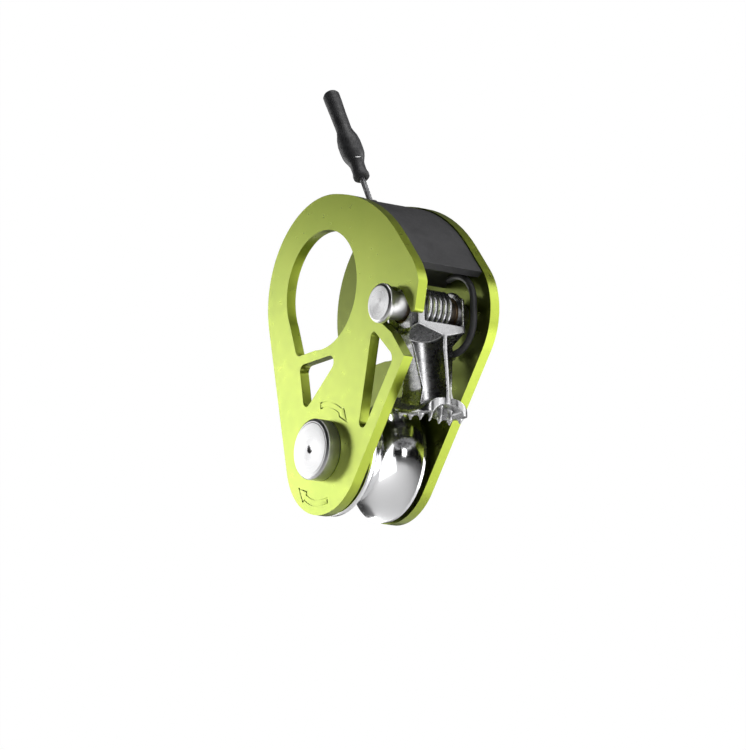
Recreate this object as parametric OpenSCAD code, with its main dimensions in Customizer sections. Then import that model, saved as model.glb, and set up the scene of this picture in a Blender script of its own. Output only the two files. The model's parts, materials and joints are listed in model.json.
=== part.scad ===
// Self-locking pulley for a rope: two side plates, a ball-bearing sheave and a sprung toothed cam.
// The front side plate swings open about the sheave axle, and a wire toggle lifts the cam.
// Outlines are drawn about the sheave axle: x to the cam side, z up, y from the front face inwards.
// The finished part has its origin at the centre of the carabiner eye.

/* [Side plates] */
// Thickness of each side plate
plate_t = 2.2; // [2:0.1:2.4]
// Clear gap between the side plates
gap = 15.3; // [15.2:0.1:15.8]
// Radius of the carabiner eye
eye_r = 12.36; // [12:0.02:12.4]
// Height of the eye's centre above the sheave axle
eye_z = 33.4; // [33.2:0.1:33.6]
// Radius of the plates round the sheave axle
foot_r = 13.06; // [13.02:0.02:13.3]

/* [Sheave] */
// Outer radius of the sheave's flanges
sheave_r = 12.9; // [12.6:0.1:13]
// Radius at the bottom of the rope groove
groove_r = 9.6; // [9.4:0.1:10]
// Width of the sheave
sheave_w = 13.5; // [13.2:0.1:13.6]

/* [Bearing] */
// Number of balls
balls = 9; // [7:1:9]
// Radius of one ball
ball_r = 1.45; // [1.4:0.01:1.46]
// Radius of the circle through the balls' centres
pitch_r = 5.9; // [5.88:0.01:5.92]

/* [Axle] */
// Radius of the axle's polished head
head_r = 6.2; // [5.6:0.1:6.4]
// How far the head stands out of the front plate
head_h = 3.2; // [2.4:0.1:3.4]

/* [Cam] */
// Distance of the cam pin to the right of the sheave axle
pin_x = 23.8; // [23.7:0.1:23.9]
// Height of the cam pin above the sheave axle
pin_z = 25.2; // [25.1:0.1:25.3]
// Radius of the cam pin's head
pin_head_r = 4; // [3.8:0.1:4.2]
// How far a tooth in the middle of the gripping groove reaches past the groove's edges
tooth_reach = 0.3; // [0:0.1:0.4]

/* [Release toggle] */
// Radius of the release wire
wire_r = 0.6; // [0.5:0.05:0.6]
// Length of wire seen between the cover and the handle
wire_out = 6.3; // [5.5:0.1:8]
// Length of the handle
handle_len = 23.4; // [20:0.2:26]

/* [Hidden] */
$fn = 64;
step = 4;
run_fit = 0.05;
side_fit = 0.3;
far = 60;

depth = 2 * plate_t + gap;
mid = depth / 2;
inner_y = plate_t;
rear_y = plate_t + gap;

// Circles that a belt round the plate runs over: [x, z, radius]
plate_circles = [[0, 0, foot_r], [20, 25.5, 13.5], [-0.9, 18.6, 34.3], [0.9, 32.8, 20.1]];

// Sharp corners of the windows and the latch notch, with the radius that rounds each: [x, z, radius]
tri_window = [[-8.1, 19.2, 1.4], [-6.5, 9.1, 1.3], [7, 19.2, 1.5]];
slot_window = [[11.1, -1.9, 1.3], [24.6, 14.5, 2], [17.3, 21.9, 1]];
eye_corner = [[-11.25, 28.3, 0], [-9, 21.2, 1.6], [-2.4, 21.27, 0], [0, 30, 0]];
notch_r = 3.7;
notch = [
    [21.5, 28.2, 0], [19.6, 22.9, 0], [23.8, 19.6, 3], [27.6, 14.4, 1.2], [34, 8, 0], [44, 20, 0], [35.2, 36, 0],
    [31.4, 20.9, 0.8], [27.2, 28.3, 3.2]
];

// Axle, from the front: head, journal for the swinging plate, shaft for the bearing
journal_r = 4.6;
shaft_r = 3.5;
journal_end = plate_t + 0.1;
peen_h = 0.6;
collar_h = 1.2;

// Bearing
race_w = 7;
inner_race_r = 4.8;
outer_race_in = 7;
outer_race_r = 8.2;
track_r = ball_r + 0.05;
race_y = mid - race_w / 2;
race_end = mid + race_w / 2;
sheave_y = mid - sheave_w / 2;
sheave_end = mid + sheave_w / 2;
flange_t = 0.9;

// Cam pin
pin_head_y = -3;
pin_head_t = 1.4;
neck_r = 2.9;
pin_r = 2.5;
bush_r = 3.3;
ear_y = inner_y + side_fit;
front_ear_end = 4.8;
rear_ear_y = 14.2;
rear_ear_end = 14.8;
ear_r = 4.4;
cavity_r = 4.75;
sill_z = -3.5;
flank_r = 5.2;
flank_at = [5.5, 5.65, -4.2];
flank_lean = [-1.2, -5.5];
flank_roof = [13.5, -26];

// Cam foot: a curved gripping plate about a centre beside the pin, [x, z] from the pin, grooved for the rope
foot_centre = [3.5, 0.6];
foot_half_w = 5.75;
grip_r = 22.7;
saddle_r = 7.5;
saddle_top = 3.5;
grip_groove_r = 4.4;
grip_groove_depth = 2;
grip_groove_half = sqrt(pow(grip_groove_r, 2) - pow(grip_groove_r - grip_groove_depth, 2));
tooth_r = 0.5;
tooth_tip_r = 0.12;
tooth_flare = 0.12;
tooth_sunk = 0.4;
tooth_rows = 5;
teeth_in_row = 5;
first_row = -19.6;
row_step = 4.4;
tooth_step = 2.4;

// Coil spring round the cam pin
spring_turns = 5.25;
spring_pitch = 1.24;
spring_wire_r = 0.5;
spring_r = 3.75;
spring_y = 6.35;
spring_from = 130;
cover_leg = 5;
cam_leg = 1.5;

// Cover between the plates
cover_in = 0.3;
cover_t = 1.7;
hub_gap_r = 8.9;
hub_wall_r = 10.1;
eye_gap_r = 12.8;
eye_wall_r = 13.7;
web_t = 1.2;
rivet_r = 1.2;
rivet_at = [[12, 46.7], [22.4, 38.2]];

// Release wire: it leaves the cover at wire_at and leans away from the cam
wire_at = [3.85, 52.5];
wire_lean = 26.6;
wire_in = 4.2;
wire_travel_in = 4.4;
liner_in = 4;
liner_r = 1.35;
handle_r = 1.75;
wire_end = wire_out + handle_len - 3;
crimp_from = wire_out + 4.5;
crimp_end = crimp_from + 5.5;
crimp_r = 1.7;

// Black sheath on the cam: two bends above and below the pin, with a straight length between them
sheath_r = 0.7;
sheath_bend = 6.3;
sheath_rise = 1.6;
sheath_y = 15.85;
sheath_top_turn = 108;
sheath_anchor_x = -1.6;
sheath_anchor_z = -sheath_bend - sheath_rise;

// Bend of the wire's fixed liner inside the cover: [x, y, z]
run_path = [
    [10.4, 9.9, 43.4], [12.1, 10.2, 41.5], [13.4, 11, 39.4], [14.5, 12, 37.5], [15.3, 13, 35.8], [16, 13.8, 34.3],
    [16.4, 14.4, 33.1]
];

// ---------- geometry helpers ----------

function unit(v) = v / norm(v);

function arc(c, r, a0, a1, by = step) =
    let (n = max(2, ceil(abs(a1 - a0) / by)))
    [for (i = [0:n]) let (a = a0 + (a1 - a0) * i / n) [c[0] + r * cos(a), c[1] + r * sin(a)]];

// Direction, in degrees, of the outward normal where a belt leaves circle p for circle q
function belt_normal(p, q) =
    let (d = [q[0] - p[0], q[1] - p[1]])
    atan2(d[1], d[0]) - acos((p[2] - q[2]) / norm(d));

// Outline of a belt run anticlockwise round circles [x, z, radius]
function belt(cs) = [
    for (i = [0:len(cs) - 1])
        let (
            c = cs[i],
            a0 = belt_normal(cs[(i + len(cs) - 1) % len(cs)], c),
            a1 = belt_normal(c, cs[(i + 1) % len(cs)]),
            turn = (a1 - a0 + 720) % 360
        )
        each arc(c, c[2], a0, a0 + turn)
];

// The corner b between a and c, rounded by its own radius b[2]
function corner(a, b, c, by) =
    b[2] == 0 ? [[b[0], b[1]]] :
    let (
        p = [b[0], b[1]],
        u = unit([a[0], a[1]] - p),
        v = unit([c[0], c[1]] - p),
        half = acos(u * v) / 2,
        m = p + unit(u + v) * b[2] / sin(half),
        s = p + u * b[2] / tan(half) - m,
        e = p + v * b[2] / tan(half) - m,
        a0 = atan2(s[1], s[0]),
        turn = (atan2(e[1], e[0]) - a0 + 540) % 360 - 180
    )
    arc(m, b[2], a0, a0 + turn, by);

function rounded(p, by = step) = [
    for (i = [0:len(p) - 1]) each corner(p[(i + len(p) - 1) % len(p)], p[i], p[(i + 1) % len(p)], by)
];

// Puts the finished part's origin at the centre of the carabiner eye
module placed() {
    translate([0, -mid, -eye_z]) children();
}

// An x-z outline as a slab from depth y0 to y1
module slab(y0, y1) {
    translate([0, y1, 0]) rotate([90, 0, 0]) linear_extrude(y1 - y0) children();
}

// A round rod along y
module rod(x, z, r, y0, y1) {
    translate([x, y0, z]) rotate([-90, 0, 0]) cylinder(h = y1 - y0, r = r);
}

// A turned piece about an axis along y, from a profile of [radius, y] points
module turned(x, z, profile) {
    translate([x, 0, z]) rotate([-90, 0, 0]) rotate_extrude() polygon(profile);
}

// A ring from radius r0 to r1
module ring(x, z, r0, r1, y0, y1) {
    turned(x, z, [[r0, y0], [r1, y0], [r1, y1], [r0, y1]]);
}

// The same about the release wire's line, from a profile of [radius, distance out of the cover] points
module on_wire(profile) {
    translate([wire_at[0], mid, wire_at[1]]) rotate([0, -wire_lean, 0]) rotate_extrude() polygon(profile);
}

// A tube of radius r along a path that never runs along y
module swept(path, r, sides = 8) {
    last = len(path) - 1;
    rings = [
        for (i = [0:last])
            let (
                t = unit(path[min(i + 1, last)] - path[max(i - 1, 0)]),
                n = unit(cross(t, [0, 1, 0])),
                b = cross(n, t)
            )
            for (k = [0:sides - 1]) path[i] + r * (cos(360 * k / sides) * n + sin(360 * k / sides) * b)
    ];
    sides_of = [
        for (i = [0:last - 1]) for (k = [0:sides - 1])
            let (a = i * sides + k, b = i * sides + (k + 1) % sides)
            each [[a, b, b + sides], [a, b + sides, a + sides]]
    ];
    ends = [[for (k = [sides - 1:-1:0]) k], [for (k = [0:sides - 1]) last * sides + k]];
    polyhedron(rings, concat(sides_of, ends), convexity = 6);
}

// ---------- side plates ----------

module plate_outline() {
    difference() {
        polygon(belt(plate_circles));
        polygon(rounded(eye_corner));
    }
}

module rear_plate() {
    color("yellowgreen") placed() difference() {
        slab(rear_y, depth) plate_outline();
        rod(0, eye_z, eye_r, rear_y - 1, depth + 1);
        rod(0, 0, shaft_r, rear_y - 1, depth + 1);
        rod(pin_x, pin_z, pin_r, rear_y - 1, depth + 1);
        for (p = rivet_at) rod(p[0], p[1], rivet_r, rear_y - 1, depth + 1);
    }
}

module front_plate() {
    color("yellowgreen") placed() difference() {
        slab(0, plate_t) difference() {
            plate_outline();
            polygon(rounded(tri_window));
            polygon(rounded(slot_window));
            polygon(rounded(notch));
        }
        rod(0, eye_z, eye_r, -1, plate_t + 1);
        rod(0, 0, journal_r + run_fit, -1, plate_t + 1);
        rod(pin_x, pin_z, notch_r, -1, plate_t + 1);
    }
}

// ---------- sheave, axle and bearing ----------

module sheave_axle() {
    chamfer = 0.4;
    color("silver") placed() turned(0, 0, [
        [0, -head_h], [head_r - chamfer, -head_h], [head_r, chamfer - head_h], [head_r, -run_fit],
        [journal_r, -run_fit], [journal_r, journal_end], [shaft_r, journal_end], [shaft_r, depth + collar_h],
        [shaft_r - peen_h, depth + collar_h + peen_h], [0, depth + collar_h + peen_h]
    ]);
}

module axle_collar() {
    color("silver") placed() turned(0, 0, [
        [shaft_r, depth], [5.8, depth], [5.8, depth + 0.8], [5.4, depth + collar_h], [shaft_r, depth + collar_h]
    ]);
}

module front_spacer() {
    color("gray") placed() ring(0, 0, shaft_r, 4.5, journal_end, race_y);
}

module rear_spacer() {
    color("gray") placed() ring(0, 0, shaft_r, 4.5, race_end, rear_y);
}

module front_thrust_washer() {
    color("black") placed() ring(0, 0, journal_r + run_fit, 11.6, inner_y + 0.15, sheave_y - 0.15);
}

module rear_thrust_washer() {
    color("black") placed() ring(0, 0, 4.55, 11.6, sheave_end + 0.15, rear_y);
}

module bearing_inner_race() {
    color("silver") placed() difference() {
        ring(0, 0, shaft_r, inner_race_r, race_y, race_end);
        translate([0, mid, 0]) rotate([-90, 0, 0]) rotate_extrude() translate([pitch_r, 0]) circle(track_r);
    }
}

module bearing_outer_race() {
    color("silver") placed() difference() {
        ring(0, 0, outer_race_in, outer_race_r, race_y, race_end);
        translate([0, mid, 0]) rotate([-90, 0, 0]) rotate_extrude() translate([pitch_r, 0]) circle(track_r);
    }
}

module at_balls() {
    for (i = [0:balls - 1]) rotate([0, 360 * i / balls, 0]) translate([pitch_r, mid, 0]) children();
}

module bearing_balls() {
    color("silver") placed() at_balls() sphere(ball_r);
}

module bearing_cage() {
    color("goldenrod") placed() difference() {
        ring(0, 0, 5.35, 6.45, mid - 2.1, mid + 2.1);
        at_balls() sphere(ball_r + 0.02);
    }
}

module bearing_front_seal() {
    color("black") placed() ring(0, 0, inner_race_r + run_fit, outer_race_in, race_y + 0.2, race_y + 0.6);
}

module bearing_rear_seal() {
    color("black") placed() ring(0, 0, inner_race_r + run_fit, outer_race_in, race_end - 0.6, race_end - 0.2);
}

module sheave() {
    half_w = sheave_w / 2 - flange_t;
    dip = sheave_r - groove_r;
    groove_curve = (half_w * half_w + dip * dip) / (2 * dip);
    color("silver") placed() difference() {
        turned(0, 0, [
            [7.6, sheave_y + 0.6], [7.6, race_y], [outer_race_r, race_y], [outer_race_r, sheave_end],
            [sheave_r - 0.3, sheave_end], [sheave_r, sheave_end - 0.3], [sheave_r, sheave_y + 0.3],
            [sheave_r - 0.3, sheave_y], [8.4, sheave_y], [7.8, sheave_y + 0.6]
        ]);
        translate([0, mid, 0]) rotate([-90, 0, 0]) rotate_extrude()
            translate([groove_r + groove_curve, 0]) circle(groove_curve, $fn = 128);
    }
}

// ---------- cam ----------

// Everything on the cam is drawn about its pin
module at_pin() {
    placed() translate([pin_x, 0, pin_z]) children();
}

// Side view of the ears, bridge and leg
module cam_side() {
    circle(ear_r);
    polygon(rounded([
        [-4.4, 0, 0], [-3.9, -8.5, 5], [-3.5, -12.5, 5], [-4.9, -15.5, 5], [-6.2, -22, 0], [5.2, -22, 0], [5.4, -17, 3],
        [4.7, -8, 2], [4.9, -5.2, 0.3], [4.7, 2.2, 0.8], [0, 4.4, 3]
    ]));
}

// Front view of the same: wide ears, a leg that narrows downwards, flared foot, as [y, z from the pin]
module cam_front() {
    top = 5.4;
    thigh = 5;
    ankle = 3.7;
    polygon(rounded([
        [ear_y, top, 0], [ear_y, -5, 1], [mid - thigh, -7.6, 2], [mid - ankle, -16.5, 3], [mid - ankle - 1, -21, 0],
        [mid + ankle + 1, -21, 0], [mid + ankle, -16.5, 3], [rear_ear_end, -7.6, 2], [rear_ear_end, top, 0]
    ]));
}

// Cutter for the hollow on one side of the leg's central rib, under a sloping roof: side is 1 or -1
module cam_flank(side) {
    drop = 17;
    translate([flank_at[0], mid + side * flank_at[1], flank_at[2]]) intersection() {
        rotate([side * flank_lean[0], flank_lean[1], 0]) translate([0, 0, -drop]) cylinder(h = drop + 8, r = flank_r);
        rotate([side * flank_roof[0], flank_roof[1], 0]) translate([-far / 2, -far / 2, -far]) cube(far);
    }
}

module cam_arm() {
    difference() {
        intersection() {
            slab(ear_y, rear_ear_end + 2) cam_side();
            translate([-10, 0, 0]) rotate([90, 0, 90]) linear_extrude(20) cam_front();
            rod(foot_centre[0], foot_centre[1], grip_r - 1, ear_y - 1, rear_y);
            translate([0, 0, -far / 2]) linear_extrude(far) polygon([
                [-10, ear_y], [3.2, ear_y], [5.6, ear_y + 1], [5.6, rear_y], [-10, rear_y]
            ]);
        }
        rod(0, 0, cavity_r, front_ear_end, rear_ear_y);
        translate([-0.6, front_ear_end, sill_z]) cube([8, rear_ear_y - front_ear_end, 12]);
        for (side = [-1, 1]) cam_flank(side);
    }
}

module cam_foot() {
    foot_y = mid - foot_half_w;
    foot_end = mid + foot_half_w;
    saddle_at = grip_r - saddle_top + saddle_r;
    saddle_half = asin((foot_half_w - 0.2) / saddle_r);
    intersection() {
        turned(foot_centre[0], foot_centre[1], concat(
            arc([saddle_at, mid], saddle_r, 180 - saddle_half, 180 + saddle_half, 12),
            corner([grip_r - 1, foot_y], [grip_r, foot_y, 0.8], [grip_r, mid], 30),
            corner([grip_r, mid], [grip_r, foot_end, 0.8], [grip_r - 1, foot_end], 30)
        ));
        translate([0, 0, -far / 2]) linear_extrude(far / 2) polygon(rounded([
            [-6.4, foot_y, 1.5], [5.5, foot_y, 2.4], [5.5, mid - 2.2, 2], [4.7, mid, 3], [5.5, mid + 2.2, 2],
            [5.5, foot_end, 2.4], [-6.4, foot_end, 1.5]
        ]));
    }
}

// Cutter for the rope's groove along the gripping face
module grip_groove() {
    translate([foot_centre[0], mid, foot_centre[1]]) rotate([-90, 0, 0]) rotate_extrude()
        translate([grip_r - grip_groove_depth + grip_groove_r, 0]) circle(grip_groove_r);
}

// Teeth in staggered rows along the gripping face
module cam_teeth() {
    for (row = [0:tooth_rows - 1]) {
        lean = first_row + row_step * row;
        count = teeth_in_row - row % 2;
        for (i = [0:count - 1]) {
            across = (i - (count - 1) / 2) * tooth_step;
            groove = grip_groove_r - grip_groove_depth;
            dip = abs(across) < grip_groove_half ? sqrt(pow(grip_groove_r, 2) - pow(across, 2)) - groove : 0;
            root = grip_r - dip - tooth_sunk;
            tip = grip_r + tooth_reach + tooth_flare * abs(across);
            translate([foot_centre[0], mid + across, foot_centre[1]]) rotate([0, -lean, 0]) translate([0, 0, -root])
                rotate([180, 0, 0]) cylinder(h = tip - root, r1 = tooth_r, r2 = tooth_tip_r, $fn = 16);
        }
    }
}

module cam() {
    color("dimgray") at_pin() difference() {
        union() {
            difference() {
                union() {
                    cam_arm();
                    cam_foot();
                }
                grip_groove();
            }
            cam_teeth();
        }
        rod(0, 0, bush_r, 0, depth);
        rod(sheath_anchor_x, sheath_anchor_z, 1, mid, rear_y);
    }
}

module sheath_anchor() {
    color("dimgray") at_pin() difference() {
        rod(sheath_anchor_x, sheath_anchor_z, 1, 11, 16.6);
        translate([sheath_anchor_x, sheath_y, sheath_anchor_z]) rotate([0, 90, 0]) cylinder(h = 2, r = sheath_r);
    }
}

module cam_front_bush() {
    color("goldenrod") at_pin() ring(0, 0, pin_r + run_fit, bush_r, ear_y + 0.5, front_ear_end);
}

module cam_rear_bush() {
    color("goldenrod") at_pin() ring(0, 0, pin_r + run_fit, bush_r, rear_ear_y, rear_ear_end);
}

module cam_pin() {
    chamfer = 0.3;
    pin_head_end = pin_head_y + pin_head_t;
    color("silver") at_pin() turned(0, 0, [
        [0, pin_head_y], [pin_head_r - chamfer, pin_head_y], [pin_head_r, pin_head_y + chamfer],
        [pin_head_r, pin_head_end], [neck_r, pin_head_end + 0.3], [neck_r, inner_y], [pin_r, inner_y],
        [pin_r, depth + 0.9], [pin_r - 0.4, depth + 1.3], [0, depth + 1.3]
    ]);
}

module cam_pin_collar() {
    color("silver") at_pin() turned(0, 0, [
        [pin_r, depth], [4.3, depth], [4.3, depth + 0.6], [4, depth + 0.9], [pin_r, depth + 0.9]
    ]);
}

module cam_spring() {
    turns = [
        for (i = [0:18:spring_turns * 360])
            let (a = spring_from + i)
            [spring_r * cos(a), spring_y + spring_pitch * i / 360, spring_r * sin(a)]
    ];
    end = turns[len(turns) - 1];
    first = turns[0] + cover_leg * unit(turns[0] - turns[1]);
    last = end + cam_leg * unit(end - turns[len(turns) - 2]);
    color("lightgray") at_pin() swept(concat([first], turns, [last]), spring_wire_r);
}

module cam_sheath() {
    low_end = [[sheath_anchor_x, sheath_anchor_z]];
    low_bend = arc([0, -sheath_rise], sheath_bend, -90, 0);
    top_bend = arc([0, sheath_rise], sheath_bend, 0, sheath_top_turn);
    color("black") at_pin() swept([
        for (q = concat(low_end, low_bend, top_bend)) [q[0], sheath_y, q[1]]
    ], sheath_r, 10);
}

// ---------- cover ----------

function inset(cs, d) = [for (c = cs) [c[0], c[1], c[2] - d]];

// The part of the plate's outline that the cover closes
module cover_side() {
    polygon([[1, 44], [1, far], [far, far], [33.4, 34.4], [29.4, 31.9], [pin_x, pin_z + 4], [8, 38]]);
}

module cover_shape() {
    intersection() {
        cover_side();
        difference() {
            polygon(belt(inset(plate_circles, cover_in)));
            translate([0, eye_z]) circle(eye_gap_r);
            translate([pin_x, pin_z]) circle(hub_gap_r);
            polygon([[0, 0], [pin_x, pin_z], [pin_x - 8, pin_z + 8], [8, 38], [0, eye_z]]);
        }
    }
}

module cover_hollow() {
    difference() {
        polygon(belt(inset(plate_circles, cover_in + cover_t)));
        translate([pin_x, pin_z]) circle(hub_wall_r);
        translate([0, eye_z]) circle(eye_wall_r);
        polygon([[0, 40], [0, far], [2.4, far], [2.4, 40]]);
    }
}

module cover() {
    color([0.12, 0.12, 0.13]) placed() difference() {
        union() {
            difference() {
                slab(inner_y + side_fit, rear_y) cover_shape();
                slab(inner_y + side_fit - 1, rear_y - web_t) cover_hollow();
            }
            for (p = rivet_at) rod(p[0], p[1], 2.1, 9, rear_y);
            intersection() {
                slab(inner_y + side_fit, rear_y) cover_shape();
                wire_boss();
            }
        }
        for (p = rivet_at) rod(p[0], p[1], rivet_r, 8, rear_y + 1);
        wire_bore(liner_r, liner_in);
        wire_bore(wire_r + 0.15, wire_in + wire_travel_in);
    }
}

module wire_boss() {
    translate([wire_at[0], mid, wire_at[1]]) rotate([0, -wire_lean, 0]) translate([0, 0, -liner_in - 0.6])
        cylinder(h = liner_in + 2, r = 2.6);
}

module wire_bore(r, deep) {
    translate([wire_at[0], mid, wire_at[1]]) rotate([0, -wire_lean, 0]) translate([0, 0, -deep])
        cylinder(h = deep + 5, r = r);
}

module cover_rivets() {
    color("silver") placed() for (p = rivet_at) turned(p[0], p[1], [
        [0, 9.2], [rivet_r, 9.2], [rivet_r, depth], [2.1, depth], [2, depth + 0.4], [1.5, depth + 0.7], [0, depth + 0.7]
    ]);
}

// ---------- release wire and toggle ----------

module wire_liner() {
    color("dimgray") placed() on_wire([
        [wire_r + run_fit, -liner_in], [liner_r, -liner_in], [liner_r, -0.5], [wire_r + 0.35, -0.1],
        [wire_r + run_fit, -0.1]
    ]);
}

module wire_run() {
    color("black") placed() swept(run_path, sheath_r, 10);
}

module release_wire() {
    color("gray") placed() on_wire([
        [0, -wire_in], [wire_r, -wire_in], [wire_r, wire_end], [0, wire_end]
    ]);
}

module toggle_crimp() {
    color("silver") placed() on_wire([
        [wire_r, crimp_from], [crimp_r, crimp_from], [crimp_r, crimp_end], [wire_r, crimp_end]
    ]);
}

module toggle_handle() {
    top = wire_out + handle_len;
    color([0.15, 0.15, 0.16]) placed() on_wire([
        [wire_r, wire_out], [1.5, wire_out], [1.75, wire_out + 0.4], [1.7, wire_out + 1], [1.5, wire_out + 1.6],
        [1.55, wire_out + 3], [2.15, wire_out + 4.4], [2.4, wire_out + 6.4], [2.35, wire_out + 8.4],
        [2.1, wire_out + 10.2], [handle_r, wire_out + 12], [handle_r, top - 0.5], [handle_r - 0.4, top], [0, top],
        [0, wire_end], [wire_r, wire_end], [wire_r, crimp_end], [crimp_r, crimp_end], [crimp_r, crimp_from],
        [wire_r, crimp_from]
    ]);
}

rear_plate();
front_plate();
sheave_axle();
axle_collar();
front_spacer();
rear_spacer();
front_thrust_washer();
rear_thrust_washer();
bearing_inner_race();
bearing_outer_race();
bearing_cage();
bearing_balls();
bearing_front_seal();
bearing_rear_seal();
sheave();
cam();
cam_front_bush();
cam_rear_bush();
cam_pin();
cam_pin_collar();
cam_spring();
cam_sheath();
sheath_anchor();
cover();
cover_rivets();
wire_liner();
wire_run();
release_wire();
toggle_crimp();
toggle_handle();
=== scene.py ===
"""Looks of a self-locking rope pulley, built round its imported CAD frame. Lengths are in metres."""

import json
import math

import bmesh
import bpy
from mathutils import Matrix, Vector, noise
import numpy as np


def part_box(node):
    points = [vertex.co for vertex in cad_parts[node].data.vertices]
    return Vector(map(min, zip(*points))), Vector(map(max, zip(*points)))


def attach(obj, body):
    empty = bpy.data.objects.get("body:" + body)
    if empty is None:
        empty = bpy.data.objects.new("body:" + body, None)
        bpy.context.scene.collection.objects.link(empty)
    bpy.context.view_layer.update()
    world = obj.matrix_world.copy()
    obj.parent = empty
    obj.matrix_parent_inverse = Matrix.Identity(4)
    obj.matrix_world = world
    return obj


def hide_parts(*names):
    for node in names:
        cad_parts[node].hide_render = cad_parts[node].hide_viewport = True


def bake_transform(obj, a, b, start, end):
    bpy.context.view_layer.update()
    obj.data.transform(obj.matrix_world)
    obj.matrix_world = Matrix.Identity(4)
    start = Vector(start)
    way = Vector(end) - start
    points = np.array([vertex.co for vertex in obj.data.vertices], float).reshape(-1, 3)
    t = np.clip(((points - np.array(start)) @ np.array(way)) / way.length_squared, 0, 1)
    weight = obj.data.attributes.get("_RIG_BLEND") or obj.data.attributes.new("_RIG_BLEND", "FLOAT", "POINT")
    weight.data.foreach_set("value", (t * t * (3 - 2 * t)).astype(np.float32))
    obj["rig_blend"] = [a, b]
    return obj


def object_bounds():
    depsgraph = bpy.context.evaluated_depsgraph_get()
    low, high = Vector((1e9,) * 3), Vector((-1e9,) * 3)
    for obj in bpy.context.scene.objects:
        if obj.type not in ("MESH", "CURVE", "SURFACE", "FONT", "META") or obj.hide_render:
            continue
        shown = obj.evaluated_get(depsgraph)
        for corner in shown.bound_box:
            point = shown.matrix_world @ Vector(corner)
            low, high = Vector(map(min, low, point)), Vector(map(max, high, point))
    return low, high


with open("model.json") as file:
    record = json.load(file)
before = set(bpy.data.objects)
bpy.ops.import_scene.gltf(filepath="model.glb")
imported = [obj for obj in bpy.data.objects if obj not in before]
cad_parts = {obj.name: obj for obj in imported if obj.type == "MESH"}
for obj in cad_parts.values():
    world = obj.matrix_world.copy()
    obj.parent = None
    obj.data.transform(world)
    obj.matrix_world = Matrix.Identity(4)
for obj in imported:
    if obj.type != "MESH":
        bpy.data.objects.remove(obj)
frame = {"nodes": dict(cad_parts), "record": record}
CAD_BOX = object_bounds()

MM = 0.001
NODES = frame["nodes"]
RECORD = frame["record"]
BODY_OF = {node: body for body, members in RECORD["behaviour"]["bodies"].items() for node in members}
SLOT_OF = {part["node"]: part["material_slot"] for part in RECORD["subparts"]}


# ---------------------------------------------------------------- mesh helpers

SAME_POINT = 1e-7  # new points closer than this are one point
SAME_CAD_POINT = 2e-6  # the same, for the split edges of a CAD mesh
FLAT_ANGLE = 0.6  # CAD faces that meet at less than this many degrees are one flat face
BEVEL_ANGLE = 28  # CAD edges that are sharper than this many degrees are rounded
CORNER_ANGLE = 8  # profile corners that turn by less than this many degrees stay as they are
CORNER_STEPS = 3
BEVEL_STEPS = 3


def mesh_object(name, verts, faces):
    """A new object from points and faces, with its normals facing outwards."""
    mesh = bpy.data.meshes.new(name)
    mesh.from_pydata([tuple(v) for v in verts], [], faces)
    bm = bmesh.new()
    bm.from_mesh(mesh)
    bmesh.ops.remove_doubles(bm, verts=bm.verts, dist=SAME_POINT)
    bmesh.ops.recalc_face_normals(bm, faces=bm.faces)
    bm.to_mesh(mesh)
    bm.free()
    obj = bpy.data.objects.new(name, mesh)
    bpy.context.scene.collection.objects.link(obj)
    return obj


def apply_modifiers(obj):
    """Bakes the object's modifiers into its mesh."""
    bpy.context.view_layer.update()
    deps = bpy.context.evaluated_depsgraph_get()
    mesh = bpy.data.meshes.new_from_object(obj.evaluated_get(deps))
    obj.modifiers.clear()
    obj.data = mesh


def shade(obj, angle=32):
    """Smooth shading, kept sharp where faces meet at more than angle degrees."""
    obj.data.polygons.foreach_set("use_smooth", [True] * len(obj.data.polygons))
    obj.data.set_sharp_from_angle(angle=math.radians(angle))


def flatten_shading(obj):
    """Makes large faces look flat next to their rounded edges."""
    weights = obj.modifiers.new("flat_faces", "WEIGHTED_NORMAL")
    weights.weight = 90  # of 100: the larger faces count for nearly everything
    weights.keep_sharp = True


def join(name, parts):
    """Several objects made into one."""
    verts, faces = [], []
    for part in parts:
        base = len(verts)
        verts += [v.co.copy() for v in part.data.vertices]
        faces += [[base + i for i in p.vertices] for p in part.data.polygons]
        bpy.data.objects.remove(part)
    return mesh_object(name, verts, faces)


def soften(profile, radius, closed=True):
    """Rounds the corners of a profile of (radius, distance) points."""
    points = [Vector(p) for p in profile]
    out = []
    for i, b in enumerate(points):
        a, c = points[i - 1], points[(i + 1) % len(points)]
        end = not closed and i in (0, len(points) - 1)
        if end or (a - b).angle(b - c, 0) < math.radians(CORNER_ANGLE):
            out.append(b)
            continue
        cut = min(radius, 0.45 * (a - b).length, 0.45 * (c - b).length)
        p, q = b + (a - b).normalized() * cut, b + (c - b).normalized() * cut
        for k in range(CORNER_STEPS + 1):
            t = k / CORNER_STEPS
            out.append((1 - t) ** 2 * p + 2 * t * (1 - t) * b + t * t * q)
    return out


def lathe(name, profile, centre, axis=(0, 1, 0), segments=96, closed=True):
    """A turned piece: a profile of (radius, distance along the axis) points, spun about the axis."""
    axis, centre = Vector(axis).normalized(), Vector(centre)
    side = axis.orthogonal().normalized()
    other = axis.cross(side)
    verts, rings = [], []
    for r, d in profile:
        if r < SAME_POINT:
            rings.append([len(verts)] * segments)
            verts.append(centre + axis * d)
            continue
        rings.append(range(len(verts), len(verts) + segments))
        for k in range(segments):
            a = 2 * math.pi * k / segments
            verts.append(centre + axis * d + (side * math.cos(a) + other * math.sin(a)) * r)
    faces = []
    pairs = zip(rings, rings[1:] + rings[:1]) if closed else zip(rings, rings[1:])
    for one, two in pairs:
        for k in range(segments):
            m = (k + 1) % segments
            face = list(dict.fromkeys([one[k], one[m], two[m], two[k]]))
            if len(face) > 2:
                faces.append(face)
    return mesh_object(name, verts, faces)


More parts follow.
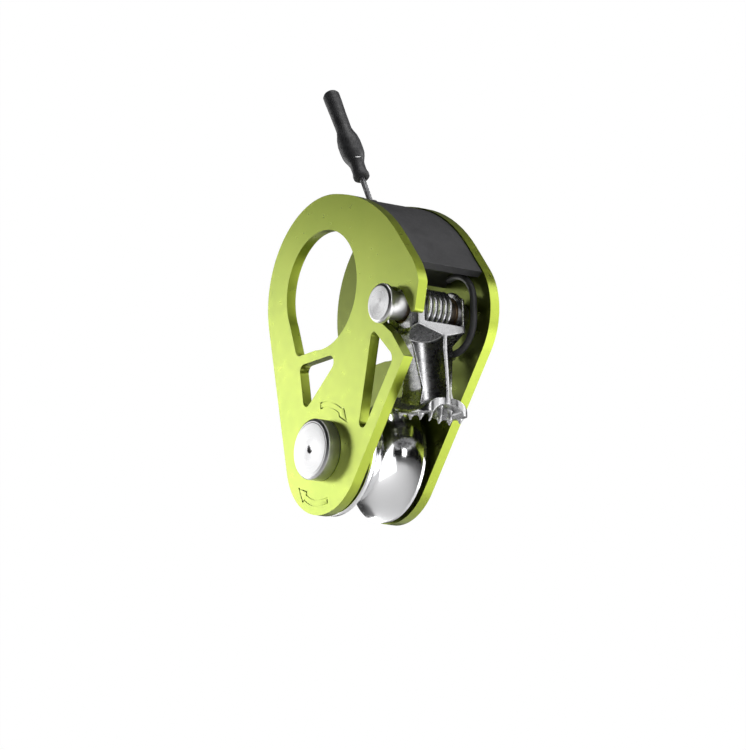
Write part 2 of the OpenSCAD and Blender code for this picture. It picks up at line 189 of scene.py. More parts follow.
def tube(name, path, radius, sides):
    """A round tube along a path, with closed ends."""
    path = [Vector(p) for p in path]
    last = len(path) - 1
    verts, faces = [], []
    side = None
    for i, p in enumerate(path):
        ahead = (path[min(i + 1, last)] - path[max(i - 1, 0)]).normalized()
        side = ahead.orthogonal() if side is None else side - ahead * side.dot(ahead)
        side.normalize()
        other = ahead.cross(side)
        for k in range(sides):
            a = 2 * math.pi * k / sides
            verts.append(p + (side * math.cos(a) + other * math.sin(a)) * radius)
    for i in range(last):
        for k in range(sides):
            m = (k + 1) % sides
            faces.append([i * sides + k, i * sides + m, (i + 1) * sides + m, (i + 1) * sides + k])
    faces.append(list(range(sides)))
    faces.append([last * sides + k for k in range(sides)])
    return mesh_object(name, verts, faces)


def cad_copy(name, node):
    """A CAD node's mesh as a new object, with its split edges welded and its flat faces merged."""
    obj = bpy.data.objects.new(name, NODES[node].data.copy())
    obj.data.materials.clear()
    bpy.context.scene.collection.objects.link(obj)
    bm = bmesh.new()
    bm.from_mesh(obj.data)
    bmesh.ops.remove_doubles(bm, verts=bm.verts, dist=SAME_CAD_POINT)
    bmesh.ops.dissolve_limit(bm, angle_limit=math.radians(FLAT_ANGLE), verts=bm.verts, edges=bm.edges)
    bm.to_mesh(obj.data)
    bm.free()
    return obj


def bevelled(obj, width):
    """Rounds the object's sharp edges."""
    bevel = obj.modifiers.new("bevel", "BEVEL")
    bevel.width = width
    bevel.segments = BEVEL_STEPS
    bevel.limit_method = "ANGLE"
    bevel.angle_limit = math.radians(BEVEL_ANGLE)
    bevel.miter_outer = "MITER_ARC"
    apply_modifiers(obj)
    shade(obj)
    flatten_shading(obj)
    return obj


def cut(obj, cutter, operation="DIFFERENCE"):
    """A boolean with another object, which is then removed."""
    boolean = obj.modifiers.new("cut", "BOOLEAN")
    boolean.operation = operation
    boolean.solver = "EXACT"
    boolean.object = cutter
    apply_modifiers(obj)
    bpy.data.objects.remove(cutter)


def turned_size(node):
    """Axis point, bore radius, outer radius and both ends along Y of a turned CAD node."""
    lo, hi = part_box(node)
    centre = (lo + hi) / 2
    radii = [math.hypot(v.co.x - centre.x, v.co.z - centre.z) for v in NODES[node].data.vertices]
    return Vector((centre.x, 0, centre.z)), min(radii), max(radii), lo.y, hi.y


# ------------------------------------------------------------------- materials

def shader(name, color, roughness, metallic=0.0, **sockets):
    """A new material with one Principled shader; sockets names more of its inputs."""
    mat = bpy.data.materials.new(name)
    mat.use_nodes = True
    bsdf = mat.node_tree.nodes["Principled BSDF"]
    bsdf.inputs["Base Color"].default_value = (*color, 1)
    bsdf.inputs["Roughness"].default_value = roughness
    bsdf.inputs["Metallic"].default_value = metallic
    for socket, value in sockets.items():
        bsdf.inputs[socket.replace("_", " ")].default_value = value
    return mat


def add(mat, kind, **settings):
    """A new node in the material, with its settings or input values."""
    node = mat.node_tree.nodes.new(kind)
    for key, value in settings.items():
        if hasattr(node, key):
            setattr(node, key, value)
        else:
            node.inputs[key.replace("_", " ")].default_value = value
    return node


def link(mat, source, target):
    mat.node_tree.links.new(source, target)


def place(mat, centre=(0, 0, 0), stretch=(1, 1, 1)):
    """The surface point, measured from centre and stretched."""
    where = add(mat, "ShaderNodeTexCoord")
    shift = add(mat, "ShaderNodeVectorMath", operation="SUBTRACT")
    shift.inputs[1].default_value = centre
    scale = add(mat, "ShaderNodeVectorMath", operation="MULTIPLY")
    scale.inputs[1].default_value = stretch
    link(mat, where.outputs["Object"], shift.inputs[0])
    link(mat, shift.outputs[0], scale.inputs[0])
    return scale.outputs[0]


def noise_at(mat, size, detail=3.0, stretch=(1, 1, 1)):
    """Noise with features of about size metres."""
    tex = add(mat, "ShaderNodeTexNoise", Scale=1 / size, Detail=detail)
    link(mat, place(mat, stretch=stretch), tex.inputs["Vector"])
    return tex.outputs["Fac"]


def spread(mat, fac, low, high, start=0.3, end=0.7):
    """Maps a value from the range start..end to low..high; noise mostly lies between 0.3 and 0.7."""
    ramp = add(mat, "ShaderNodeMapRange")
    for socket, value in (("From Min", start), ("From Max", end), ("To Min", low), ("To Max", high)):
        ramp.inputs[socket].default_value = value
    link(mat, fac, ramp.inputs["Value"])
    return ramp.outputs["Result"]


def vary_roughness(mat, fac, low, high):
    """Roughness between low and high, by a noise value."""
    bsdf = mat.node_tree.nodes["Principled BSDF"]
    link(mat, spread(mat, fac, low, high), bsdf.inputs["Roughness"])


def vary_color(mat, fac, dark, light, start=0.3, end=0.7):
    """Colour from dark at the value start to light at end."""
    bsdf = mat.node_tree.nodes["Principled BSDF"]
    ramp = add(mat, "ShaderNodeValToRGB")
    ramp.color_ramp.elements[0].position = start
    ramp.color_ramp.elements[1].position = end
    ramp.color_ramp.elements[0].color = (*dark, 1)
    ramp.color_ramp.elements[1].color = (*light, 1)
    link(mat, fac, ramp.inputs["Fac"])
    link(mat, ramp.outputs["Color"], bsdf.inputs["Base Color"])


def bump(mat, fac, height):
    """Raises the surface by up to height where the value is 1; further calls add to the first."""
    bsdf = mat.node_tree.nodes["Principled BSDF"]
    node = add(mat, "ShaderNodeBump", Distance=height, Strength=1.0)
    link(mat, fac, node.inputs["Height"])
    before = bsdf.inputs["Normal"]
    if before.is_linked:
        link(mat, before.links[0].from_socket, node.inputs["Normal"])
    link(mat, node.outputs["Normal"], bsdf.inputs["Normal"])


def radius_about(mat, centre):
    """Distance from an axis along Y through centre, in metres."""
    length = add(mat, "ShaderNodeVectorMath", operation="LENGTH")
    link(mat, place(mat, centre, (1, 0, 1)), length.inputs[0])
    return length.outputs["Value"]


def turning_marks(mat, centre, pitch, height):
    """Fine rings about an axis along Y, as a lathe leaves them."""
    tex = add(mat, "ShaderNodeTexNoise", noise_dimensions="1D", Scale=1 / pitch, Detail=2.0)
    link(mat, radius_about(mat, centre), tex.inputs["W"])
    bump(mat, tex.outputs["Fac"], height)
    return tex.outputs["Fac"]


def worn_edges(mat, start, end):
    """1 on convex edges and 0 elsewhere; Pointiness is 0.5 on a flat face."""
    geometry = add(mat, "ShaderNodeNewGeometry")
    return spread(mat, geometry.outputs["Pointiness"], 0, 1, start, end)


GREEN_DARK, GREEN_LIGHT = (0.33, 0.425, 0.016), (0.375, 0.465, 0.024)
# Next pair: first a painted-shade green, the darkened green of the rear plate's inner face; second the rear
# plate's own green.
PAINTED_SHADE_GREEN, REAR_GREEN = (0.12, 0.15, 0.012), (0.355, 0.445, 0.02)
CAM_STEEL, WORN_STEEL = (0.35, 0.35, 0.355), (0.75, 0.75, 0.76)


def anodised_green(name):
    """Satin lime green dye in a clear hard coat."""
    mat = shader(name, GREEN_LIGHT, 0.3, 0.92, Coat_Weight=0.7, Coat_Roughness=0.25, Coat_IOR=1.6)
    vary_color(mat, noise_at(mat, 12 * MM), GREEN_DARK, GREEN_LIGHT)
    vary_roughness(mat, noise_at(mat, 2 * MM), 0.27, 0.33)
    bump(mat, noise_at(mat, 0.3 * MM, 2), 0.002 * MM)
    return mat


def rear_green_with_painted_shade():
    """The rear plate's green with painted shade: its inner face, which faces -Y, is painted darker and given
    less coat, standing in for the shade and dark reflection that fall on it.
    """
    mat = anodised_green("anodised_green_rear_painted_shade")
    where = add(mat, "ShaderNodeTexCoord")
    parts = add(mat, "ShaderNodeSeparateXYZ")
    link(mat, where.outputs["Normal"], parts.inputs[0])
    # Mask for the painted shade: 0 on the inner face, which faces -Y, and 1 on the other faces.
    clear_of_painted_shade = spread(mat, parts.outputs["Y"], 0, 1, -0.99, -0.9)
    # Painted shade: the inner face takes the darkened green.
    vary_color(mat, clear_of_painted_shade, PAINTED_SHADE_GREEN, REAR_GREEN, 0.0, 1.0)
    bsdf = mat.node_tree.nodes["Principled BSDF"]
    # Painted shade: less coat on the inner face dims its reflection.
    link(mat, spread(mat, clear_of_painted_shade, 0.15, 0.7, 0, 1), bsdf.inputs["Coat Weight"])
    return mat


def turned_steel(name, node, roughness):
    """Steel with the rings that a lathe leaves about the node's axis."""
    centre = turned_size(node)[0]
    mat = shader(name, (0.6, 0.6, 0.61), roughness, 1.0, Anisotropic=0.5)
    tangent = add(mat, "ShaderNodeTangent", direction_type="RADIAL", axis="Y")
    link(mat, tangent.outputs["Tangent"], mat.node_tree.nodes["Principled BSDF"].inputs["Tangent"])
    rings = turning_marks(mat, centre, 0.16 * MM, 0.004 * MM)
    vary_roughness(mat, rings, roughness - 0.05, roughness + 0.09)
    vary_color(mat, rings, (0.5, 0.5, 0.505), (0.68, 0.68, 0.685))
    return mat


def polished_aluminium():
    centre = turned_size("sheave")[0]
    mat = shader("polished_aluminium", (0.88, 0.88, 0.89), 0.12, 1.0)
    rings = turning_marks(mat, centre, 0.35 * MM, 0.001 * MM)
    vary_roughness(mat, rings, 0.09, 0.17)
    bump(mat, noise_at(mat, 1.2 * MM), 0.004 * MM)
    return mat


def bearing_steel():
    mat = shader("bearing_steel", (0.6, 0.6, 0.62), 0.2, 1.0)
    vary_roughness(mat, noise_at(mat, 0.6 * MM), 0.14, 0.26)
    bump(mat, noise_at(mat, 0.1 * MM), 0.001 * MM)
    return mat


def dark_cam_steel():
    """Dark cast steel, worn bright along its edges."""
    mat = shader("dark_cam_steel", CAM_STEEL, 0.28, 1.0)
    vary_roughness(mat, noise_at(mat, 0.9 * MM), 0.23, 0.32)
    bump(mat, noise_at(mat, 0.35 * MM, 4), 0.007 * MM)
    shine = worn_edges(mat, 0.515, 0.58)
    vary_color(mat, shine, CAM_STEEL, WORN_STEEL, 0.0, 1.0)
    return mat


def bronze(name, dark, light):
    mat = shader(name, light, 0.35, 1.0)
    vary_color(mat, noise_at(mat, 0.5 * MM), dark, light)
    bump(mat, noise_at(mat, 0.12 * MM), 0.004 * MM)
    return mat


def spring_steel():
    mat = shader("spring_steel", (0.5, 0.5, 0.515), 0.28, 1.0)
    vary_roughness(mat, noise_at(mat, 0.3 * MM, 2, stretch=(1, 6, 1)), 0.22, 0.34)
    bump(mat, noise_at(mat, 0.12 * MM, 2, stretch=(1, 6, 1)), 0.003 * MM)
    return mat


def black_plastic():
    mat = shader("black_plastic", (0.035, 0.035, 0.037), 0.42, 0.0, Specular_IOR_Level=0.5)
    vary_color(mat, noise_at(mat, 6 * MM), (0.03, 0.03, 0.032), (0.042, 0.042, 0.045))
    vary_roughness(mat, noise_at(mat, 1.4 * MM), 0.36, 0.5)
    bump(mat, noise_at(mat, 0.16 * MM, 2), 0.012 * MM)
    return mat


def black_rubber():
    mat = shader("black_rubber", (0.03, 0.03, 0.032), 0.5)
    vary_color(mat, noise_at(mat, 3 * MM), (0.024, 0.024, 0.026), (0.045, 0.045, 0.048))
    vary_roughness(mat, noise_at(mat, 0.8 * MM), 0.42, 0.6)
    bump(mat, noise_at(mat, 0.3 * MM, 3), 0.01 * MM)
    return mat


def black_nylon():
    mat = shader("black_nylon", (0.02, 0.02, 0.022), 0.5)
    vary_roughness(mat, noise_at(mat, 0.8 * MM), 0.45, 0.6)
    bump(mat, noise_at(mat, 0.2 * MM), 0.006 * MM)
    return mat


def wire_steel():
    mat = shader("wire_steel", (0.3, 0.3, 0.31), 0.45, 0.8)
    vary_color(mat, noise_at(mat, 0.5 * MM), (0.2, 0.2, 0.205), (0.32, 0.32, 0.33))
    bump(mat, noise_at(mat, 0.08 * MM), 0.002 * MM)
    return mat


def crimp_aluminium():
    mat = shader("crimp_aluminium", (0.7, 0.7, 0.7), 0.35, 1.0)
    vary_roughness(mat, noise_at(mat, 0.5 * MM), 0.28, 0.42)
    bump(mat, noise_at(mat, 0.2 * MM), 0.004 * MM)
    return mat


MATERIALS = {
    "anodised_green": anodised_green("anodised_green"),
    "machined_steel": turned_steel("machined_steel", "sheave_axle", 0.32),
    "bearing_steel": bearing_steel(),
    "black_nylon": black_nylon(),
    "brass_cage": bronze("brass_cage", (0.6, 0.42, 0.16), (0.75, 0.56, 0.26)),
    "polished_aluminium": polished_aluminium(),
    "dark_cam_steel": dark_cam_steel(),
    "bronze_bush": bronze("bronze_bush", (0.17, 0.11, 0.06), (0.25, 0.17, 0.09)),
    "spring_steel": spring_steel(),
    "black_rubber": black_rubber(),
    "black_plastic": black_plastic(),
    "wire_steel": wire_steel(),
    "crimp_aluminium": crimp_aluminium(),
}
PIN_STEEL = turned_steel("pin_steel", "cam_pin", 0.3)


def stands_for(obj, node, material=None):
    """Gives a piece its node's finish and body, and hides the node's CAD mesh."""
    obj.data.materials.clear()
    obj.data.materials.append(material or MATERIALS[SLOT_OF[node]])
    if "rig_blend" not in obj:
        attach(obj, BODY_OF[node])
    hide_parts(node)


# ---------------------------------------------------------------------- plates

PLATE_BEVEL = 0.45 * MM
STROKE, STROKE_DEPTH = 0.3 * MM, 0.16 * MM
ARROW_STEP = 4  # degrees between the points of an arrow's bent sides
ARROWS = (  # radius about the axle and half width in mm, then the angles of tail, neck and tip
    (9.4, 0.55, 94, 46, 28),
    (10.6, 0.6, -83, -128, -144),
)


def polar(centre, r, degrees):
    """The (x, z) point at a radius and an angle about centre."""
    a = math.radians(degrees)
    return Vector((centre.x + r * math.cos(a), centre.z + r * math.sin(a)))


def block_arrow(centre, r, half, tail, neck, tip):
    """Outline of a curved arrow about centre, from the angle tail to the angle tip, in degrees."""
    sweep = range(tail, neck, ARROW_STEP if tail < neck else -ARROW_STEP)
    inner = [polar(centre, r - half, a) for a in sweep]
    outer = [polar(centre, r + half, a) for a in reversed(sweep)]
    head = [polar(centre, r - 2 * half, neck), polar(centre, r, tip), polar(centre, r + 2 * half, neck)]
    return inner + head + outer


def stroke_solid(name, outline, y_from, y_to):
    """A thin wall along a closed outline, as a cutter for an engraved line."""
    loops = []
    count = len(outline)
    for side in (-0.5, 0.5):
        loop = []
        for i, p in enumerate(outline):
            before = (p - outline[i - 1]).normalized()
            after = (outline[(i + 1) % count] - p).normalized()
            normal = Vector((-(before + after).y, (before + after).x)).normalized()
            lean = max(0.45, normal.dot(Vector((-before.y, before.x))))  # keeps sharp tips short
            loop.append(p + normal * (side * STROKE / lean))
        loops.append(loop)
    verts = [Vector((p.x, y, p.y)) for y in (y_from, y_to) for loop in loops for p in loop]
    faces = []
    for i in range(count):
        j = (i + 1) % count
        a, b, c, d = 0, count, 2 * count, 3 * count
        faces += [[a + i, a + j, b + j, b + i], [c + i, c + j, d + j, d + i]]
        faces += [[a + i, a + j, c + j, c + i], [b + i, b + j, d + j, d + i]]
    return mesh_object(name, verts, faces)


def make_plates():
    rear = bevelled(cad_copy("rear_side_plate", "rear_plate"), PLATE_BEVEL)
    # The rear plate's inner face carries painted shade.
    stands_for(rear, "rear_plate", material=rear_green_with_painted_shade())
    front = bevelled(cad_copy("front_side_plate", "front_plate"), PLATE_BEVEL)
    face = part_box("front_plate")[0].y
    axle = turned_size("sheave_axle")[0]
    for r, half, tail, neck, tip in ARROWS:
        outline = block_arrow(axle, r * MM, half * MM, tail, neck, tip)
        cut(front, stroke_solid("stroke", outline, face - MM, face + STROKE_DEPTH))
    shade(front)
    flatten_shading(front)
    stands_for(front, "front_plate")


# ---------------------------------------------------------------- turned parts

def make_axle():
    """The axle, whose flat head has a centre dimple and a fine groove inside its rim."""
    axle, _, head_r, front, back = turned_size("sheave_axle")
    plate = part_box("front_plate")
    journal, shaft = 4.6 * MM, turned_size("front_spacer")[1]
    dimple, rim, line = 0.9 * MM, 0.45 * MM, 0.05 * MM
    head_back, shoulder = plate[0].y - 0.05 * MM, plate[1].y + 0.1 * MM
    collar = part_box("axle_collar")[1].y
    profile = [
        (0, front + 0.25 * MM), (dimple * 0.4, front + 0.2 * MM), (dimple, front),
        (head_r - rim - 0.5 * MM, front), (head_r - rim - 0.4 * MM, front + line),
        (head_r - rim, front + line), (head_r, front + rim), (head_r, head_back),
        (journal, head_back), (journal, shoulder), (shaft, shoulder), (shaft, collar),
        (shaft - 0.5 * MM, back - 0.1 * MM), (shaft - 1.1 * MM, back), (0, back - 0.1 * MM),
    ]
    head = lathe("axle_with_head", soften(profile, 0.12 * MM, False), axle, closed=False, segments=128)
    shade(head)
    stands_for(head, "sheave_axle")


def make_pin():
    """The cam's pin, with a flat head and the neck that the front plate's notch closes on."""
    pin, _, head_r, front, back = turned_size("cam_pin")
    neck, shaft = 2.9 * MM, turned_size("cam_pin_collar")[1]
    head_t, rim = 1.4 * MM, 0.4 * MM
    head_back, inner = front + head_t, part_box("front_plate")[1].y
    profile = [
        (0, front + 0.04 * MM), (head_r - rim - 0.3 * MM, front), (head_r - rim, front),
        (head_r, front + rim), (head_r, head_back - 0.2 * MM), (head_r - 0.2 * MM, head_back),
        (neck + 0.2 * MM, head_back), (neck, head_back + 0.3 * MM), (neck, inner), (shaft, inner),
        (shaft, back - 0.5 * MM), (shaft - 0.5 * MM, back), (0, back),
    ]
    obj = lathe("cam_pin_with_head", soften(profile, 0.15 * MM, False), pin, closed=False, segments=112)
    shade(obj)
    stands_for(obj, "cam_pin", material=PIN_STEEL)


def make_ring(name, node, round_over):
    """A ring with rounded edges, from its CAD node's bore, radius and length."""
    centre, r0, r1, y0, y1 = turned_size(node)
    obj = lathe(name, soften([(r0, y0), (r1, y0), (r1, y1), (r0, y1)], round_over), centre)
    shade(obj)
    stands_for(obj, node)


def make_collar(name, node, shoulder, material=None):
    """A riveted collar: its outer end is stepped down by a shoulder."""
    centre, r0, r1, y0, y1 = turned_size(node)
    profile = [
        (r0, y0), (r1, y0), (r1, y1 - shoulder), (r1 - shoulder, y1),
        (r0 + shoulder, y1), (r0, y1 - 0.1 * MM),
    ]
    obj = lathe(name, soften(profile, 0.15 * MM), centre)
    shade(obj)
    stands_for(obj, node, material)


def make_sheave():
    """The sheave: a round-bottomed rope groove, a bore for the bearing and a shallow recess behind."""
    centre, _, r1, y0, y1 = turned_size("sheave")
    flange, lip, groove, bore = 0.9 * MM, 0.3 * MM, 9.6 * MM, 8.2 * MM
    stop, recess = 7.6 * MM, 0.25 * MM  # radius of the bearing's stop, depth of the recess
    race_front = turned_size("bearing_outer_race")[3]
    mid, half = (y0 + y1) / 2, (y1 - y0) / 2 - flange
    dip = r1 - groove
    bend = (half * half + dip * dip) / (2 * dip)
    top = math.asin(min(1, half / bend))
    steps = 24
    curve = [
        (groove + bend - bend * math.cos(a), mid - bend * math.sin(a))
        for a in (top * (1 - k / steps) for k in range(2 * steps + 1))
    ]
    back = [
        (r1, y1 - lip), (r1 - lip, y1), (11.4 * MM, y1), (11.1 * MM, y1 - recess), (9 * MM, y1 - recess),
        (bore + 0.3 * MM, y1), (bore, y1 - 0.3 * MM), (bore, race_front), (stop, race_front),
        (stop, y0 + 0.6 * MM), (8.1 * MM, y0 + 0.3 * MM), (8.6 * MM, y0), (11.2 * MM, y0), (r1 - lip, y0),
        (r1, y0 + lip),
    ]
    obj = lathe("grooved_sheave", curve + soften(back, 0.12 * MM, False), centre, segments=160)
    shade(obj, 40)
    stands_for(obj, "sheave")


def make_rivets():
    """The cover's two domed rivets, at opposite corners of their CAD node's box."""
    lo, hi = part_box("cover_rivets")
    head_r, shank_r = 2.1 * MM, 1.2 * MM
    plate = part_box("rear_plate")[1].y
    ends = ((lo.x + head_r, hi.z - head_r), (hi.x - head_r, lo.z + head_r))
    parts = []
    for x, z in ends:
        dome = [
            (head_r * math.cos(a), plate + (hi.y - plate) * math.sin(a))
            for a in (k * math.pi / 16 for k in range(8))
        ]
        profile = [
            (0, lo.y), (shank_r, lo.y), (shank_r, plate), *dome,
            (0.5 * MM, hi.y), (0.3 * MM, hi.y - 0.15 * MM), (0, hi.y - 0.2 * MM),
        ]
        parts.append(lathe("rivet", profile, (x, 0, z), closed=False, segments=48))
    obj = join("cover_rivet_pair", parts)
    shade(obj)
    stands_for(obj, "cover_rivets", material=PIN_STEEL)


# ------------------------------------------------------------------------- cam

VOXEL = 0.13 * MM
SMOOTHING_PASSES = 8
FOOT_CENTRE = Vector((3.5 * MM, 0.6 * MM))  # centre of the foot's arc, from the pin, along X and Z
GRIP_R, GROOVE_R, GROOVE_DEPTH = 22.7 * MM, 4.4 * MM, 2 * MM
CAM_HALF = 12 * MM  # more than the cam's own half length along its pin
TOOTH_ROWS, TEETH_IN_ROW = 5, 5  # every other row has one tooth less
FIRST_ROW, ROW_STEP = -19.6, 4.4  # degrees round the foot's arc
TOOTH_STEP = 2.4 * MM
TOOTH_R, TOOTH_SUNK, TOOTH_REACH, TOOTH_FLARE = 0.5 * MM, 0.4 * MM, 0.3 * MM, 0.12


def pin_axis():
    """The point on the cam pin's axis half way between the plates' outer faces."""
    centre = turned_size("cam_pin")[0]
    return Vector((centre.x, (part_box("front_plate")[0].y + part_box("rear_plate")[1].y) / 2, centre.z))


def make_tooth(row, across):
    """One tooth, leaning outwards from the foot's centre."""
    lean = math.radians(FIRST_ROW + ROW_STEP * row)
    out = Vector((math.sin(lean), 0, -math.cos(lean)))
    inside = min(abs(across), 0.99 * GROOVE_R)
    groove = GRIP_R - GROOVE_DEPTH + GROOVE_R - math.sqrt(GROOVE_R ** 2 - inside ** 2)
    root = min(GRIP_R, groove) - TOOTH_SUNK
    height = GRIP_R + TOOTH_REACH + TOOTH_FLARE * abs(across) - root
    profile = [
        (0, 0), (TOOTH_R * 1.5, 0), (TOOTH_R * 1.35, TOOTH_SUNK * 0.9),
        (TOOTH_R * 0.95, TOOTH_SUNK * 1.7), (TOOTH_R * 0.7, height * 0.62),
        (TOOTH_R * 0.42, height * 0.92), (TOOTH_R * 0.22, height * 0.99), (0, height),
    ]
    foot = pin_axis() + Vector((FOOT_CENTRE.x, across, FOOT_CENTRE.y))
    return lathe("tooth", profile, foot + out * root, axis=out, closed=False, segments=20)


def make_cam():
    """The cam, with cast-looking rounded edges: its teeth are taken off, and slim ones put on."""
    body = cad_copy("cam_body", "cam")
    foot = pin_axis() + Vector((FOOT_CENTRE.x, 0, FOOT_CENTRE.y))
    rim = [(0, -CAM_HALF), (GRIP_R, -CAM_HALF), (GRIP_R, CAM_HALF), (0, CAM_HALF)]
    cut(body, lathe("keep", rim, foot, closed=False, segments=240), "INTERSECT")
    groove = Vector((GRIP_R - GROOVE_DEPTH + GROOVE_R, 0, 0))
    ring = [polar(groove, GROOVE_R + 0.01 * MM, a) for a in range(0, 360, 6)]
    cut(body, lathe("groove", ring, foot, segments=240))
    remesh = body.modifiers.new("remesh", "REMESH")
    remesh.mode = "VOXEL"
    remesh.voxel_size = VOXEL
    smooth = body.modifiers.new("smooth", "SMOOTH")
    smooth.factor = 0.5
    smooth.iterations = SMOOTHING_PASSES
    apply_modifiers(body)
    teeth = []
    for row in range(TOOTH_ROWS):
        count = TEETH_IN_ROW - row % 2
        teeth += [make_tooth(row, (i - (count - 1) / 2) * TOOTH_STEP) for i in range(count)]
    obj = join("rope_cam_body", [body, *teeth])
    shade(obj, 50)
    stands_for(obj, "cam")


# ------------------------------------------------------------- spring and sheath

SPRING_R, SPRING_WIRE_R = 3.75 * MM, 0.5 * MM
SPRING_TURNS, SPRING_PITCH, SPRING_STEPS = 5.25, 1.24 * MM, 48  # steps in a turn
SPRING_FROM = 130  # degrees about the pin, where the first turn starts
SPRING_LEG, SPRING_TAIL = 5 * MM, 1.5 * MM  # straight ends
SHEATH_R, SHEATH_BEND, SHEATH_RISE = 0.7 * MM, 6.3 * MM, 1.6 * MM
SHEATH_END = -1.6 * MM  # its lower end, from the pin, along X
SHEATH_TOP, SHEATH_STEP = 108, 3  # degrees: where the bend over the pin ends, and its steps


def make_spring():
    """The coil spring round the pin, whose ends stay with the frame and with the cam."""
    pin = pin_axis()
    lo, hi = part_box("cam_spring")
    path = []
    for k in range(int(SPRING_TURNS * SPRING_STEPS) + 1):
        a = math.radians(SPRING_FROM) + 2 * math.pi * k / SPRING_STEPS
        y = lo.y + SPRING_WIRE_R + SPRING_PITCH * k / SPRING_STEPS
        path.append(Vector((pin.x + SPRING_R * math.cos(a), y, pin.z + SPRING_R * math.sin(a))))
    lead, tail = (path[0] - path[1]).normalized(), (path[-1] - path[-2]).normalized()
    legs = [path[0] + lead * SPRING_LEG, path[0] + lead * SPRING_LEG / 2]
    obj = tube("coil_spring", [*legs, *path, path[-1] + tail * SPRING_TAIL], SPRING_WIRE_R, 14)
    shade(obj)
    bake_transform(obj, "frame", "rope_cam", start=(pin.x, lo.y + MM, pin.z), end=(pin.x, hi.y - MM, pin.z))
    stands_for(obj, "cam_spring")


def make_sheath():
    """The wire's sheath, bent over the pin in two quarter turns with a straight stretch between them."""
    pin = pin_axis()
    lo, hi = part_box("cam_sheath")
    y = (lo.y + hi.y) / 2
    path = [(pin.x + SHEATH_END, y, pin.z - SHEATH_RISE - SHEATH_BEND)]
    for a in range(-90, SHEATH_TOP + 1, SHEATH_STEP):
        rise = SHEATH_RISE if a > 0 else -SHEATH_RISE
        angle = math.radians(a)
        x, z = SHEATH_BEND * math.cos(angle), SHEATH_BEND * math.sin(angle) + rise
        path.append((pin.x + x, y, pin.z + z))
    obj = tube("cam_wire_sheath", path, SHEATH_R, 20)
    shade(obj, 60)
    stands_for(obj, "cam_sheath")


# ----------------------------------------------------------------------- cover

COVER_BEVEL = 0.3 * MM


def make_cover():
    stands_for(bevelled(cad_copy("moulded_cover", "cover"), COVER_BEVEL), "cover")


# ---------------------------------------------------------------------- toggle

WIRE_LEAN = math.radians(26.6)
WIRE_DIR = Vector((-math.sin(WIRE_LEAN), 0, math.cos(WIRE_LEAN)))
WIRE_R = 0.6 * MM
WIRE_IN, WIRE_OUT, WIRE_GRIPPED = 4.2 * MM, 6.3 * MM, 3 * MM  # in the cover, in sight, in the handle
STRANDS, STRAND_LAY, STRAND_STEPS = 6, 5 * MM, 72
HANDLE_SAG = 0.45 * MM  # how far its free end hangs over, beyond the wire's lean
HANDLE_CROWN = 0.7 * MM  # taken off its length, because its leaning rim is its highest point
HANDLE_STEP = 0.35 * MM
HANDLE_OUTLINE = (  # mm along the handle and radius
    (0, 0.75), (0.1, 1.4), (0.4, 1.7), (1, 1.72), (1.5, 1.58), (2.2, 1.5), (3.4, 1.5), (4.1, 1.6),
    (4.8, 1.84), (5.6, 2.14), (6.5, 2.36), (8, 2.44), (9.6, 2.42), (11, 2.2), (12.2, 1.88),
    (13.2, 1.66), (15, 1.62), (18, 1.66), (21, 1.76),
)


def wire_exit():
    """Where the release wire leaves the cover."""
    lo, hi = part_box("release_wire")
    bottom = Vector((hi.x, (lo.y + hi.y) / 2, lo.z))
    foot = bottom + Vector((-WIRE_R * math.cos(WIRE_LEAN), 0, WIRE_R * math.sin(WIRE_LEAN)))
    return foot + WIRE_DIR * WIRE_IN


def make_wire():
    """The release wire: a core with strands laid round it."""
    leave = wire_exit()
    from_d, to_d = -WIRE_IN, WIRE_OUT + WIRE_GRIPPED
    side = WIRE_DIR.orthogonal().normalized()
    other = WIRE_DIR.cross(side)
    strand_r = WIRE_R * 0.36
    parts = [tube("core", [leave + WIRE_DIR * d for d in (from_d, to_d)], WIRE_R * 0.34, 12)]
    for s in range(STRANDS):
        path = []
        for k in range(STRAND_STEPS + 1):
            d = from_d + (to_d - from_d) * k / STRAND_STEPS
            a = 2 * math.pi * (s / STRANDS + d / STRAND_LAY)
            out = side * math.cos(a) + other * math.sin(a)
            path.append(leave + WIRE_DIR * d + out * (WIRE_R - strand_r))
        parts.append(tube("strand", path, strand_r, 10))
    obj = join("stranded_wire", parts)
    shade(obj)
    stands_for(obj, "release_wire")


